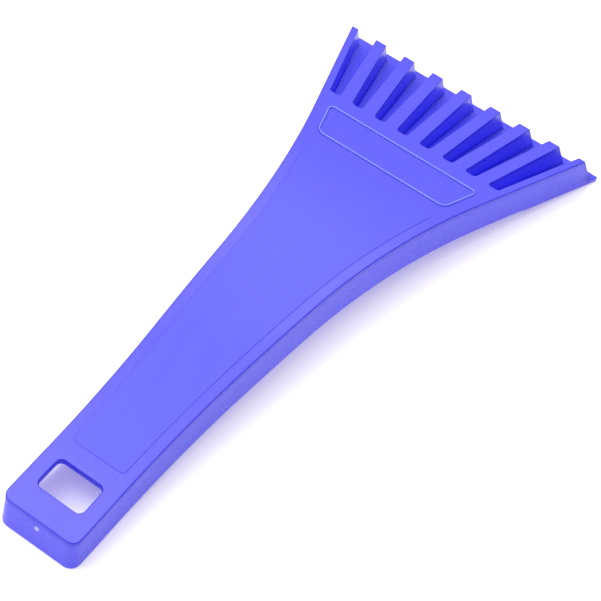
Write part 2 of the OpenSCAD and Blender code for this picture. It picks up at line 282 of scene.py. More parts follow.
class Form:
    """Outline, heights and wall faces of the body, with x measured from the tail."""

    def __init__(self, settings):
        self.outline = settings.outline
        self.profile = settings.profile
        self.head = settings.head
        self.trim = settings.trim
        self.end = self.outline.top_length
        self.bend_half_width()
        self.bend_heights()
        self.place_head()

    def bend_half_width(self):
        o = self.outline
        self.taper = tan(o.taper_angle)
        self.flare_end = self.end - o.head_straight
        self.flare = 0.0
        missing = o.head_width / 2 - self.half_width(self.end)
        self.flare = missing / ramp(self.end, o.flare_start, self.flare_end)

    def bend_heights(self):
        p = self.profile
        self.top_slope = tan(p.top_rise)
        self.top_bend_end = self.end - p.top_fall_length
        surplus = p.tail_height + self.top_slope * self.end - p.head_height
        self.top_bend = surplus / ramp(self.end, p.top_bend_start, self.top_bend_end)
        self.foot_slope = tan(p.foot_rise)
        self.foot_bend_end = self.end - p.foot_fall_length
        self.foot_bend = self.foot_slope * self.end / ramp(self.end, p.foot_bend_start, self.foot_bend_end)

    def place_head(self):
        h = self.head
        self.root = self.end - h.groove_length
        self.tip = self.end - h.tip_setback
        self.rib_foot = self.end - h.foot_setback
        self.cheek_start = self.end - h.cheek_length
        self.bulkhead = self.root - self.profile.wall_thickness
        drop = self.top(self.root) - h.groove_end_depth - h.blade_thickness
        self.floor_slope = drop / h.groove_length
        self.grooves = len(RIB_NODES) - 1

    def half_width(self, x):
        o = self.outline
        tapered = o.tail_width / 2 + self.taper * ramp(x, o.parallel_length, o.taper_start)
        return tapered + self.flare * ramp(x, o.flare_start, self.flare_end)

    def slant(self, x):
        """How much longer a side is than its run along x."""
        step = 0.5 * MM
        return sqrt(1 + ((self.half_width(x + step) - self.half_width(x - step)) / (2 * step)) ** 2)

    def top(self, x):
        bend = self.top_bend * ramp(x, self.profile.top_bend_start, self.top_bend_end)
        return self.profile.tail_height + self.top_slope * x - bend

    def under(self, x):
        return self.top(x) - self.profile.top_thickness

    def foot(self, x):
        bend = self.foot_bend * ramp(x, self.profile.foot_bend_start, self.foot_bend_end)
        return max(self.foot_slope * x - bend, 0.0)

    def floor(self, x):
        return self.head.blade_thickness + self.floor_slope * (self.end - x)

    def blade_under(self, x):
        return self.floor(x) - self.head.blade_thickness

    def draft(self, x, z):
        """How far a wall's outer face leans out at height z."""
        return tan(self.profile.wall_draft) * ramp(self.top(x) - z, 0, 2 * self.profile.top_thickness)

    def cheek(self, x, z):
        """How far the cheek beside the blade stands out of the wall at height z."""
        h = self.head
        if x < self.cheek_start:
            return 0.0
        along = ((x - self.cheek_start) / h.cheek_length) ** 2
        level = self.floor(x)
        below = clamp((level - z) / max(level - self.foot(x), LEAST_HEIGHT))
        above = clamp((z - level) / CHEEK_FADE)
        at_foot = mix(h.cheek_step, h.cheek_flare, along)
        return mix(h.cheek_flare * along, at_foot, below) * (1 - above)

    def along_rib(self, x, at_root, at_tip):
        return mix(at_root, at_tip, (x - self.root) / (self.tip - self.root))

    def fan_half(self, x):
        """Half-width at the inner side of the outermost ribs' tops."""
        h = self.head
        return self.half_width(x) - self.along_rib(x, h.outer_rib_width, h.outer_rib_tip_width)

    def rib_width(self, x):
        return self.along_rib(x, self.head.rib_width, self.head.rib_tip_width)

    def rib_pitch(self, x):
        return (self.fan_half(x) + self.rib_width(x) / 2) / (self.grooves / 2)

    def rib_spread(self, x):
        return tan(self.head.rib_draft) * (self.top(x) - self.floor(x))


# Meshes built from grids of points ----------------------------------------------------------------


def quarter(count):
    """Angles of a quarter turn in even steps."""
    return evenly(0.0, pi / 2, count)


def round_edge(corner, along_first, along_second, count):
    """Points of a rounded edge, from corner + along_first to corner + along_second."""
    return [corner + along_first * (1 - sin(t)) + along_second * (1 - cos(t)) for t in quarter(count)]


def mirrored(points):
    """The same points on the other side of the centre line, in the same order."""
    return [Vector((p.x, -p.y, p.z)) for p in points]


def across(point, shares):
    """A row through a point on the left, at shares of its distance to the centre line."""
    return [Vector((point.x, point.y * share, point.z)) for share in shares]


WELD = 0.002 * MM
LEAST_EDGE = 0.001 * MM


class Skin:
    """Grids of points that are welded into one closed mesh."""

    def __init__(self):
        self.points = []
        self.faces = []

    def grid(self, rows, skip=None):
        """Adds a quad between each four neighbours, except where skip(row, column) is true."""
        first = len(self.points)
        width = len(rows[0])
        for row in rows:
            if len(row) != width:
                raise ValueError("the rows of a grid have different lengths")
            self.points.extend(row)
        for i in range(len(rows) - 1):
            for j in range(width - 1):
                if skip and skip(i, j):
                    continue
                a = first + i * width + j
                self.faces.append((a, a + 1, a + width + 1, a + width))

    def mesh(self, name):
        """Welds the grids into a closed mesh and turns its faces outwards."""
        data = bpy.data.meshes.new(name)
        data.from_pydata([(p.x + TAIL_X, p.y, p.z) for p in self.points], [], self.faces)
        shape = bmesh.new()
        shape.from_mesh(data)
        bmesh.ops.remove_doubles(shape, verts=shape.verts, dist=WELD)
        bmesh.ops.dissolve_degenerate(shape, edges=shape.edges, dist=LEAST_EDGE)
        bmesh.ops.recalc_face_normals(shape, faces=shape.faces)
        open_edges = [edge for edge in shape.edges if len(edge.link_faces) != 2]
        if open_edges:
            raise ValueError(f"{name} has {len(open_edges)} open edges, one at {open_edges[0].verts[0].co}")
        if shape.calc_volume(signed=True) < 0:
            bmesh.ops.reverse_faces(shape, faces=shape.faces)
        shape.to_mesh(data)
        shape.free()
        return data


def smooth_by_area(data):
    """Shades a mesh smooth, with normals that follow its large faces, and stores where its upper edges get
    painted shade.
    """
    data.shade_smooth()
    sums = [Vector() for _ in data.vertices]
    for face in data.polygons:
        for index in face.vertices:
            sums[index] += face.normal * face.area
    normals = [total.normalized() for total in sums]
    data.normals_split_custom_set_from_vertices(normals)
    mark_painted_edge_shade(data, normals)


LEVEL_NORMAL = 0.97  # a vertex is on the flat top when its normal's z is above this
UPWARD_NORMAL = 0.15  # and on an upper edge when one of its faces' is above this
FULL_TURN = radians(11.5)  # turn of the surface from which an edge gets the full painted shade


def mark_painted_edge_shade(data, normals):
    """Stores how sharply the surface turns at each upper edge, where the plastic gets painted shade: a dark
    line along the edge.
    """
    faces = [[] for _ in data.vertices]
    for face in data.polygons:
        for index in face.vertices:
            faces[index].append(face.normal)
    values = []
    for own, normal in zip(faces, normals):
        if normal.z > LEVEL_NORMAL or max((face.z for face in own), default=0) < UPWARD_NORMAL:
            values.append(0.0)
        else:
            values.append(clamp((1 - min(normal.dot(face) for face in own)) / (1 - cos(FULL_TURN))))
    # painted shade along the upper edges, read by the plastic's material
    data.attributes.new(PAINTED_SHADE_ATTRIBUTE, "FLOAT", "POINT").data.foreach_set("value", values)


def add_piece(name, data, material, nodes):
    """Puts a finished mesh in the scene, in place of the CAD nodes it stands for."""
    smooth_by_area(data)
    piece = bpy.data.objects.new(name, data)
    bpy.context.scene.collection.objects.link(piece)
    data.materials.clear()
    data.materials.append(material)
    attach(piece, BODY)
    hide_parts(*nodes)
    return piece


# The body shell -------------------------------------------------------------------------------


ROUND_STEPS = 4
FACE_STEPS = 5
CORNER_STEPS = 6
RIB_TOP_STEPS = 2
SIDE_STEPS = 12
GROOVE_STEPS = 40
HALF_INNER_STEPS = 3
TAIL_STEPS = 2
HOLE_STEPS = 8
DECK_STEPS = 76
JOINT_STEPS = 3
BLADE_STEPS = 3
HOLE_MARGIN = Vector((1.3, 0.9)) * MM  # room round the hang hole where the top's grid is left open
BLADE_ARC_WEIGHT = 4.0  # weight of the middle point of the curve round the blade's corner
BLADE_ARC_REACH = 0.3  # how far that point lies beyond the side, as a share of the sweep
NOSE_SPREAD = 1.4  # radius of a rib's front corner at its foot, as a share of that at its top


class Station:
    """A place on the top's outline where the wall's section is taken."""

    def __init__(self, x, y, out, stretch, rim, edge, turn=0.0):
        self.place = Vector((x, y))
        self.out = Vector(out)
        self.lean_out = Vector((0, 1)) if turn else self.out
        self.stretch = stretch
        self.rim = rim
        self.edge = edge
        self.turn = turn

    def point(self, inward, lean, z):
        """The point at height z that lies inward of a face which leans out from the outline."""
        plan = self.place + (self.lean_out * lean - self.out * inward) * self.stretch
        return Vector((plan.x, plan.y, z))


def side_station(form, x, rim=None, edge=None):
    """A station on the left side. Its section lies across the handle."""
    edge = form.profile.top_edge if edge is None else edge
    rim = form.top(x) if rim is None else rim
    return Station(x, form.half_width(x), (0, 1), form.slant(x), rim, edge)


def tail_arc(form):
    """Stations round the tail's left corner, from the tail to the side."""
    r = form.outline.tail_corner
    centre = Vector((r, form.outline.tail_width / 2 - r))
    stations = []
    for t in quarter(CORNER_STEPS):
        out = Vector((-cos(t), sin(t)))
        place = centre + out * r
        stations.append(Station(place.x, place.y, out, 1.0, form.top(place.x), form.profile.top_edge))
    return stations


def blade_arc(form):
    """Stations round the blade's left corner, from the side to the scraping edge."""
    o = form.outline
    start_x = form.end - o.blade_corner
    start = Vector((start_x, form.half_width(start_x)))
    corner = start + Vector((BLADE_ARC_REACH * o.blade_corner, 0))
    finish = Vector((form.end, start.y - o.blade_sweep))
    stations = []
    for t in evenly(0.0, 1.0, CORNER_STEPS)[1:]:
        shares = ((1 - t) ** 2, BLADE_ARC_WEIGHT * 2 * t * (1 - t), t ** 2)
        place = (start * shares[0] + corner * shares[1] + finish * shares[2]) / sum(shares)
        out = Vector((t, 1 - t)).normalized()
        stretch = mix(form.slant(start_x), 1.0, t)
        rim, edge = form.floor(place.x), form.profile.blade_edge
        stations.append(Station(place.x, place.y, out, stretch, rim, edge, t))
    return stations


def wall_offset(form, station, z):
    """How far the outer face stands out of the outline at height z."""
    x = station.place.x
    lean = form.draft(x, z) + form.cheek(x, z) / station.stretch
    return lean * sqrt(1 - station.turn)


def foot_height(form, station, point):
    """Height of the rim's underside: the wall's foot, or the blade's underside at its front."""
    return mix(form.foot(point.x), form.blade_under(point.x), station.turn)


def split_height(form, x):
    """Height at which the inner face of the wall is divided, which the blade's underside meets."""
    if x >= form.bulkhead:
        return form.blade_under(x)
    at = form.bulkhead
    share = (form.blade_under(at) - form.foot(at)) / (form.under(at) - form.foot(at))
    return mix(form.foot(x), form.under(x), share)


def wall_section(form, station):
    """Points from the flat top over the edge, down the outer face and up the inner face."""
    x = station.place.x
    edge, foot_edge = station.edge, form.profile.foot_edge
    wall = form.profile.wall_thickness

    def outer(z, inward=0.0):
        return station.point(inward, wall_offset(form, station, z), z)

    rim_point = station.point(edge, 0, 0)
    level = station.rim if station.turn or station.rim != form.top(x) else form.top(rim_point.x)
    points = []
    for t in quarter(ROUND_STEPS):
        z = station.rim - edge * (1 - cos(t))
        points.append(outer(z, edge * (1 - sin(t))))
    points[0].z = level if not station.turn else form.floor(points[0].x)
    low = foot_height(form, station, outer(0))
    last = points[-1].z
    for z in evenly(last, low + foot_edge, FACE_STEPS)[1:-1]:
        points.append(outer(z))
    for t in quarter(HALF_INNER_STEPS):
        points.append(outer(low + foot_edge * (1 - sin(t)), foot_edge * (1 - cos(t))))
    inner_foot = outer(low, wall)
    inner_low = foot_height(form, station, inner_foot)
    split = max(split_height(form, inner_foot.x), inner_low)
    small = min(foot_edge, 0.5 * (split - inner_low))
    for t in quarter(HALF_INNER_STEPS):
        points.append(outer(inner_low + small * (1 - cos(t)), wall - small * (1 - sin(t))))
    for z in evenly(inner_low + small, split, HALF_INNER_STEPS)[1:]:
        points.append(outer(z, wall))
    return points


def hollow_section(form, station):
    """Points of the inner face above the split, and of the fillet under the flat top."""
    wall = form.profile.wall_thickness
    fillet = form.profile.hollow_fillet
    x = station.place.x

    def inner(z, inward=0.0):
        return station.point(wall + inward, wall_offset(form, station, z), z)

    start = wall_section(form, station)[-1]
    points = [start]
    for z in evenly(start.z, form.under(x) - fillet, HALF_INNER_STEPS)[1:-1]:
        points.append(inner(z))
    for t in quarter(ROUND_STEPS):
        points.append(inner(form.under(x) - fillet * (1 - sin(t)), fillet * (1 - cos(t))))
    points[-1].z = form.under(points[-1].x)
    return points


def groove_column(top, top_inset, foot, foot_inset, form):
    """Points down a groove's wall, from its rounded upper edge to its fillet on the floor."""
    edge, fillet = form.head.rib_edge, form.head.rib_fillet
    down = (foot - top).normalized()
    points = round_edge(top, top_inset - top, down * edge, ROUND_STEPS)
    lower = round_edge(foot, down * -fillet, foot_inset - foot, ROUND_STEPS)
    points += evenly(points[-1], lower[0], FACE_STEPS)[1:-1]
    return points + lower


def on_top(form, x, y):
    return Vector((x, y, form.top(x)))


def on_floor(form, x, y):
    return Vector((x, y, form.floor(x)))


class RibLine:
    """The plan of a rib's side, shared by the shell's outermost ribs and the ribs between them.

    side_top and side_foot give the rib's side at x, and into is +1 where the rib lies towards +Y.
    """

    def __init__(self, form, side_top, side_foot, into):
        self.form = form
        self.side_top = side_top
        self.side_foot = side_foot
        self.into = into
        self.nose_foot = NOSE_SPREAD * form.head.rib_nose

    def column(self, centre_top, centre_foot, radius_top, radius_foot, turn, hollow):
        """A column where the side turns: round its nose, or round a groove's closed end."""
        form, h = self.form, self.form.head
        sign = 1 if hollow else -1
        inset_top, inset_foot = radius_top + sign * h.rib_edge, radius_foot - sign * h.rib_fillet
        places = []
        for centre, radius, level in (
            (centre_top, radius_top, on_top),
            (centre_top, inset_top, on_top),
            (centre_foot, radius_foot, on_floor),
            (centre_foot, inset_foot, on_floor),
        ):
            plan = centre + turn * radius
            places.append(level(form, plan.x, plan.y))
        return groove_column(*places, form)

    def nose(self):
        """Columns round the front corner, from the front face to the side."""
        form, r = self.form, self.form.head.rib_nose
        x_top, x_foot = form.tip - r, form.rib_foot - self.nose_foot
        centre_top = Vector((x_top, self.side_top(x_top) + self.into * r))
        centre_foot = Vector((x_foot, self.side_foot(x_foot) + self.into * self.nose_foot))
        turns = [Vector((cos(t), -self.into * sin(t))) for t in quarter(CORNER_STEPS)]
        return [self.column(centre_top, centre_foot, r, self.nose_foot, turn, False) for turn in turns]

    def side(self, count):
        """Columns along the side, from behind the nose to the groove's closed corner."""
        form, h = self.form, self.form.head
        back = form.root + h.groove_corner
        columns = []
        for share in evenly(1.0, 0.0, count)[1:-1]:
            x_top = mix(back, form.tip - h.rib_nose, share)
            x_foot = mix(back, form.rib_foot - self.nose_foot, share)
            y_top, y_foot = self.side_top(x_top), self.side_foot(x_foot)
            columns.append(groove_column(
                on_top(form, x_top, y_top), on_top(form, x_top, y_top + self.into * h.rib_edge),
                on_floor(form, x_foot, y_foot), on_floor(form, x_foot, y_foot - self.into * h.rib_fillet),
                form,
            ))
        return columns

    def closed_corner(self):
        """Columns round the groove's closed corner, from the rib's side to the end wall."""
        form, r = self.form, self.form.head.groove_corner
        x = form.root + r
        centre = Vector((x, self.side_top(x) - self.into * r))
        foot_radius = r - abs(self.side_top(x) - self.side_foot(x))
        turns = [Vector((-sin(t), self.into * cos(t))) for t in quarter(CORNER_STEPS)]
        return [self.column(centre, centre, r, foot_radius, turn, True) for turn in turns]


def shell_comb(form):
    """The wall of the wide pocket between the outermost ribs, as columns from left to right."""
    line = RibLine(form, form.fan_half, lambda x: form.fan_half(x) - form.rib_spread(x), 1)
    left = line.nose() + line.side(SIDE_STEPS) + line.closed_corner()
    last = left[-1]
    right = [mirrored(column) for column in reversed(left)]
    end_wall = [
        [mix(a, b, step / GROOVE_STEPS) for a, b in zip(last, right[0])] for step in range(1, GROOVE_STEPS)
    ]
    return left, end_wall, right


def front_stations(form, nose_column):
    """Side stations down the sloping front of the outermost rib, at the levels of its nose."""
    h, p = form.head, form.profile
    stations = []
    for point in nose_column[1:]:
        share = clamp((point.x - form.tip) / (form.rib_foot - form.tip))
        edge = mix(p.top_edge, p.blade_edge, share)
        stations.append(side_station(form, point.x, point.z, edge))
    return stations


class ShellPlan:
    """Everything the shell's patches share: its stations, sections and columns."""

    def __init__(self, form):
        self.form = form
        self.left_comb, self.end_wall, self.right_comb = shell_comb(form)
        self.rib_columns = self.left_comb[CORNER_STEPS:CORNER_STEPS + SIDE_STEPS]
        self.place_stations()
        self.sections = [wall_section(form, station) for station in self.stations]
        self.find_columns()

    def place_stations(self):
        form = self.form
        tail = tail_arc(form)
        before_hole = form.trim.hole_setback - HOLE_MARGIN.x
        behind_hole = form.trim.hole_setback + form.trim.hole_length + HOLE_MARGIN.x
        deck_x = evenly(form.outline.tail_corner, before_hole, TAIL_STEPS)[1:]
        first = len(tail) + len(deck_x) - 1
        self.hole_rows = (first, first + HOLE_STEPS)
        deck_x += evenly(before_hole, behind_hole, HOLE_STEPS)[1:]
        deck_x += evenly(behind_hole, form.bulkhead, DECK_STEPS)[1:]
        self.deck_rows = len(tail) + len(deck_x)
        root_x = form.root + form.head.groove_corner
        joint_x = evenly(form.bulkhead, root_x, JOINT_STEPS)[1:]
        rib_x = [column[0].x for column in reversed(self.rib_columns)]
        nose = self.left_comb[:CORNER_STEPS + 1]
        nose_x = [column[0].x for column in reversed(nose)][1:]
        slope = front_stations(form, nose[0])
        blade_x = evenly(slope[-1].place.x, form.end - form.outline.blade_corner, BLADE_STEPS)[1:]
        self.joint_rows = self.deck_rows + len(joint_x)
        self.tip_row = self.joint_rows + len(rib_x) + len(nose_x)
        self.foot_row = self.tip_row + len(slope)
        self.stations = tail + [side_station(form, x) for x in deck_x + joint_x + rib_x + nose_x]
        self.stations += slope
        blade_edge = form.profile.blade_edge
        self.stations += [side_station(form, x, form.floor(x), blade_edge) for x in blade_x]
        self.stations += blade_arc(form)

    def find_columns(self):
        """Shares of a row's half-width at which all the columns run, from +1 to -1."""
        start = self.sections[self.joint_rows - 1][0]
        rim = self.left_comb[-1 - CORNER_STEPS:]
        across = evenly(start.y, rim[0][0].y, RIB_TOP_STEPS)
        across += [column[0].y for column in rim[1:]]
        across += [column[0].y for column in self.end_wall]
        across += [-y for y in reversed(across[:RIB_TOP_STEPS + CORNER_STEPS + 1])]
        self.shares = [y / start.y for y in across]

    def row(self, point, level):
        """A row across the body between a point on the left and its mirror image."""
        return [Vector((point.x, point.y * share, level(point.x))) for share in self.shares]

    def hole_columns(self):
        """The columns between which the top is left open round the hang hole."""
        half = self.form.trim.hole_width / 2 + HOLE_MARGIN.y
        inner = self.hollow_row_end(self.hole_rows[0]).y
        first = max(j for j, share in enumerate(self.shares) if share * inner > half)
        return first, len(self.shares) - 1 - first

    def hollow_row_end(self, index):
        return hollow_section(self.form, self.stations[index])[-1]


def in_block(rows, columns):
    """A test for the quads inside a block of rows and columns."""
    return lambda i, j: rows[0] <= i < rows[1] and columns[0] <= j < columns[1]


def block_loop(grid, rows, columns):
    """The points round a block of a grid, in order."""
    top = [grid[rows[0]][j] for j in range(columns[0], columns[1])]
    right = [grid[i][columns[1]] for i in range(rows[0], rows[1])]
    bottom = [grid[rows[1]][j] for j in range(columns[1], columns[0], -1)]
    left = [grid[i][columns[0]] for i in range(rows[1], rows[0], -1)]
    loop = top + right + bottom + left
    return loop + loop[:1]


def hole_outline(form, loop, grow):
    """The hole's outline, grown by a margin, at a point for each point of the loop round it."""
    t = form.trim
    centre = Vector((t.hole_setback + t.hole_length / 2, 0))
    reach = Vector((max(abs(p.x - centre.x) for p in loop), max(abs(p.y) for p in loop)))
    half = Vector((t.hole_length / 2 + grow, t.hole_width / 2 + grow))
    r = t.hole_corner + grow
    outline = []
    for p in loop:
        x = (p.x - centre.x) / reach.x * half.x
        y = p.y / reach.y * half.y
        over = Vector((max(abs(x) - half.x + r, 0), max(abs(y) - half.y + r, 0)))
        if over.x > 0 and over.y > 0:
            over = over.normalized() * r
            x = (half.x - r + over.x) * (1 if x > 0 else -1)
            y = (half.y - r + over.y) * (1 if y > 0 else -1)
        outline.append(Vector((centre.x + x, y)))
    return outline


def cut_hole(skin, form, upper_loop, lower_loop):
    """Rings of points through the hang hole, from the top's surface to its underside."""
    lip, small = form.trim.hole_lip, 0.4 * form.trim.hole_lip
    rings = [upper_loop]
    for t in quarter(ROUND_STEPS):
        outline = hole_outline(form, upper_loop, lip * (1 - sin(t)))
        rings.append([Vector((p.x, p.y, form.top(p.x) - lip * (1 - cos(t)))) for p in outline])
    for t in quarter(ROUND_STEPS):
        outline = hole_outline(form, upper_loop, small * (1 - cos(t)))
        rings.append([Vector((p.x, p.y, form.under(p.x) + small * (1 - sin(t)))) for p in outline])
    rings.append(lower_loop)
    skin.grid(rings)


def both_sides(skin, sections):
    """Adds a patch on the left and its mirror image on the right."""
    skin.grid(sections)
    skin.grid([mirrored(section) for section in sections])


def across_ends(skin, form, plan):
    """The walls' patches across the tail and along the scraping edge."""
    for section in (plan.sections[0], plan.sections[-1], hollow_section(form, plan.stations[0])):
        skin.grid([across(point, plan.shares) for point in section])


def deck_patches(skin, form, plan):
    """The flat top, its underside and the hang hole through both."""
    rows, columns = plan.hole_rows, plan.hole_columns()
    upper = [plan.row(section[0], form.top) for section in plan.sections[:plan.deck_rows]]
    hollows = [hollow_section(form, station) for station in plan.stations[:plan.deck_rows]]
    lower = [plan.row(section[-1], form.under) for section in hollows]
    hole = in_block(rows, columns)
    skin.grid(upper, hole)
    skin.grid(lower, hole)
    cut_hole(skin, form, block_loop(upper, rows, columns), block_loop(lower, rows, columns))
    both_sides(skin, hollows)
    skin.grid([across(point, plan.shares) for point in hollows[-1]])


def comb_edge(plan):
    """The front boundary of the flat top: both outermost ribs' roots and the end wall's edge."""
    start = plan.sections[plan.joint_rows - 1][0]
    rim = plan.left_comb[-1 - CORNER_STEPS:]
    edge = evenly(start, rim[0][0], RIB_TOP_STEPS)[:-1]
    edge += [column[0] for column in rim]
    edge += [column[0] for column in plan.end_wall]
    return edge + mirrored(reversed(edge[:RIB_TOP_STEPS + CORNER_STEPS + 1]))


def joint_patch(skin, form, plan):
    """The strip of the flat top between its last straight row and the end wall's edge."""
    back = plan.row(plan.sections[plan.deck_rows - 1][0], form.top)
    front = comb_edge(plan)
    rows = []
    for share in evenly(0.0, 1.0, JOINT_STEPS):
        row = [mix(a, b, share) for a, b in zip(back, front)]
        rows.append([on_top(form, p.x, p.y) for p in row])
    skin.grid(rows)


def outer_rib_patches(skin, form, plan):
    """The top and the sloping front of the outermost ribs."""
    inner = [column[0] for column in reversed(plan.left_comb[:CORNER_STEPS + SIDE_STEPS + 1])]
    outer = [section[0] for section in plan.sections[plan.joint_rows - 1:plan.tip_row]]
    rows = [evenly(a, b, RIB_TOP_STEPS) for a, b in zip(outer, inner)]
    both_sides(skin, [[on_top(form, p.x, p.y) for p in row] for row in rows])
    front_outer = [section[0] for section in plan.sections[plan.tip_row - 1:plan.foot_row]]
    both_sides(skin, [evenly(a, b, RIB_TOP_STEPS) for a, b in zip(front_outer, plan.left_comb[0])])


def groove_floor_patch(skin, plan):
    """The floor between the outermost ribs, up to their front corners."""
    left = [column[-1] for column in reversed(plan.left_comb[CORNER_STEPS:])]
    rows = [evenly(a, b, GROOVE_STEPS) for a, b in zip(left, mirrored(left))]
    skin.grid(rows)
    return rows[-1]


def blade_patch(skin, form, plan, floor_row):
    """The blade in front of the ribs, up to the scraping edge."""
    front_outer = plan.sections[plan.foot_row - 1][0]
    nose = [column[-1] for column in plan.left_comb[:CORNER_STEPS + 1]]
    edge = evenly(front_outer, nose[0], RIB_TOP_STEPS)[:-1] + nose
    back = edge + floor_row[1:-1] + mirrored(reversed(edge))
    ends = [section[0] for section in plan.sections[plan.foot_row - 1:-CORNER_STEPS]]
    front = plan.row(ends[-1], form.floor)
    rows = [back]
    for step, end in enumerate(ends[1:], 1):
        row = [mix(a, b, step / (len(ends) - 1)) for a, b in zip(back, front)]
        row = [on_floor(form, p.x, p.y) for p in row]
        rows.append([end] + row[1:-1] + mirrored([end]))
    skin.grid(rows)
    last = [plan.row(section[0], form.floor) for section in plan.sections[-CORNER_STEPS - 1:]]
    skin.grid(last)


def blade_underside(skin, plan):
    """The underside of the blade, from the end wall's back to the scraping edge."""
    skin.grid([across(section[-1], plan.shares) for section in plan.sections[plan.deck_rows - 1:]])


def build_shell(form):
    """The whole shell: walls, flat top, outermost ribs, grooves and blade, as one closed skin."""
    plan = ShellPlan(form)
    skin = Skin()
    both_sides(skin, plan.sections)
    across_ends(skin, form, plan)
    deck_patches(skin, form, plan)
    joint_patch(skin, form, plan)
    both_sides(skin, plan.left_comb)
    skin.grid([plan.left_comb[-1]] + plan.end_wall + [plan.right_comb[0]])
    outer_rib_patches(skin, form, plan)
    floor_row = groove_floor_patch(skin, plan)
    blade_patch(skin, form, plan, floor_row)
    blade_underside(skin, plan)
    return skin.mesh("body_shell")


# The ice ribs between the outermost two ----------------------------------------------------------


def build_rib(form):
    """One rib on the centre line, with the rounded roots that close the grooves beside it."""
    def side_top(x):
        return form.rib_width(x) / 2

    def side_foot(x):
        return side_top(x) + form.rib_spread(x)

    line = RibLine(form, side_top, side_foot, -1)
    columns = line.nose() + line.side(SIDE_STEPS) + line.closed_corner()
    left = [column + [column[-1] - Vector((0, 0, SUNK))] for column in columns]
    behind = [Vector((left[-1][0].x, point.y, point.z)) for point in left[-1]]
    skin = Skin()
    both_sides(skin, left)
    both_sides(skin, [left[-1], behind])
    tops = [column[0] for column in left]
    bases = [column[-1] for column in left]
    shares = evenly(1.0, -1.0, RIB_TOP_STEPS)
    for points in (left[0], tops, bases, behind, (left[-1][-1], behind[-1])):
        skin.grid([across(point, shares) for point in points])
    return skin.mesh("rib_pattern")


class Nodes:
    """A tree of nodes under construction."""

    def __init__(self, tree):
        self.tree = tree

    def node(self, kind, values=None, **options):
        """Adds a node, and links or sets its inputs, given by name or by number."""
        node = self.tree.nodes.new(kind)
        for option, value in options.items():
            setattr(node, option, value)
        for key, value in (values or {}).items():
            if isinstance(value, bpy.types.NodeSocket):
                self.tree.links.new(value, node.inputs[key])
            else:
                node.inputs[key].default_value = value
        return node

    def math(self, operation, first, second):
        return self.node("ShaderNodeMath", {0: first, 1: second}, operation=operation).outputs[0]


class Tree(Nodes):
    """A Geometry Nodes tree with named inputs."""

    def __init__(self, name, inputs):
        super().__init__(bpy.data.node_groups.new(name, "GeometryNodeTree"))
        face = self.tree.interface
        face.new_socket("Geometry", in_out="INPUT", socket_type="NodeSocketGeometry")
        for label, kind in inputs:
            face.new_socket(label, in_out="INPUT", socket_type="NodeSocket" + kind)
        face.new_socket("Geometry", in_out="OUTPUT", socket_type="NodeSocketGeometry")
        self.inputs = self.tree.nodes.new("NodeGroupInput").outputs

    def finish(self, geometry):
        """Ends the tree in Realize Instances and Set Material."""
        real = self.node("GeometryNodeRealizeInstances", {"Geometry": geometry})
        values = {"Geometry": real.outputs[0], "Material": self.inputs["Material"]}
        coated = self.node("GeometryNodeSetMaterial", values)
        self.node("NodeGroupOutput", {"Geometry": coated.outputs[0]})
        return self.tree


def fan_tree():
    """Repeats a rib across the blade, with the ribs' spacing growing from root to tip."""
    floats = [(name, "Float") for name in ("Root spacing", "Tip spacing", "Root place", "Tip place")]
    build = Tree("Rib fan", [("Count", "Int")] + floats + [("Material", "Material")])
    source = build.inputs
    middle = build.math("DIVIDE", build.math("SUBTRACT", source["Count"], 1.0), 2.0)
    number = build.math("SUBTRACT", build.node("GeometryNodeInputIndex").outputs[0], middle)
    points = build.node("GeometryNodePoints", {"Count": source["Count"]}).outputs[0]
    values = {"Geometry": points, "Name": "rib_number", "Value": number}
    numbered = build.node("GeometryNodeStoreNamedAttribute", values, data_type="FLOAT", domain="POINT")
    values = {"Points": numbered.outputs[0], "Instance": source["Geometry"]}
    copies = build.node("GeometryNodeInstanceOnPoints", values).outputs[0]
    real = build.node("GeometryNodeRealizeInstances", {"Geometry": copies}).outputs[0]
    place = build.node("GeometryNodeInputPosition").outputs[0]
    x = build.node("ShaderNodeSeparateXYZ", {0: place}).outputs["X"]
    values = {"Value": x, "From Min": source["Root place"], "From Max": source["Tip place"],
              "To Min": source["Root spacing"], "To Max": source["Tip spacing"]}
    spacing = build.node("ShaderNodeMapRange", values, clamp=False).outputs[0]
    own = build.node("GeometryNodeInputNamedAttribute", {"Name": "rib_number"}, data_type="FLOAT").outputs[0]
    shift = build.node("ShaderNodeCombineXYZ", {"Y": build.math("MULTIPLY", spacing, own)}).outputs[0]
    spread = build.node("GeometryNodeSetPosition", {"Geometry": real, "Offset": shift}).outputs[0]
    return build.finish(spread)


def sweep_tree():
    """Runs a half-sunk oval line along an outline."""
    build = Tree("Raised line", [("Width", "Float"), ("Height", "Float"), ("Material", "Material")])
    source = build.inputs
    path = build.node("GeometryNodeMeshToCurve", {"Mesh": source["Geometry"]}).outputs[0]
    upright = build.node("GeometryNodeSetCurveNormal", {"Curve": path}, mode="Z_UP").outputs[0]
    circle = build.node("GeometryNodeCurvePrimitiveCircle", {"Resolution": 18, "Radius": 1.0}).outputs[0]
    half = build.math("DIVIDE", source["Width"], 2.0)
    size = build.node("ShaderNodeCombineXYZ", {"X": source["Height"], "Y": half, "Z": 1.0}).outputs[0]
    oval = build.node("GeometryNodeTransform", {"Geometry": circle, "Scale": size}).outputs[0]
    line = build.node("GeometryNodeCurveToMesh", {"Curve": upright, "Profile Curve": oval}).outputs[0]
    return build.finish(line)


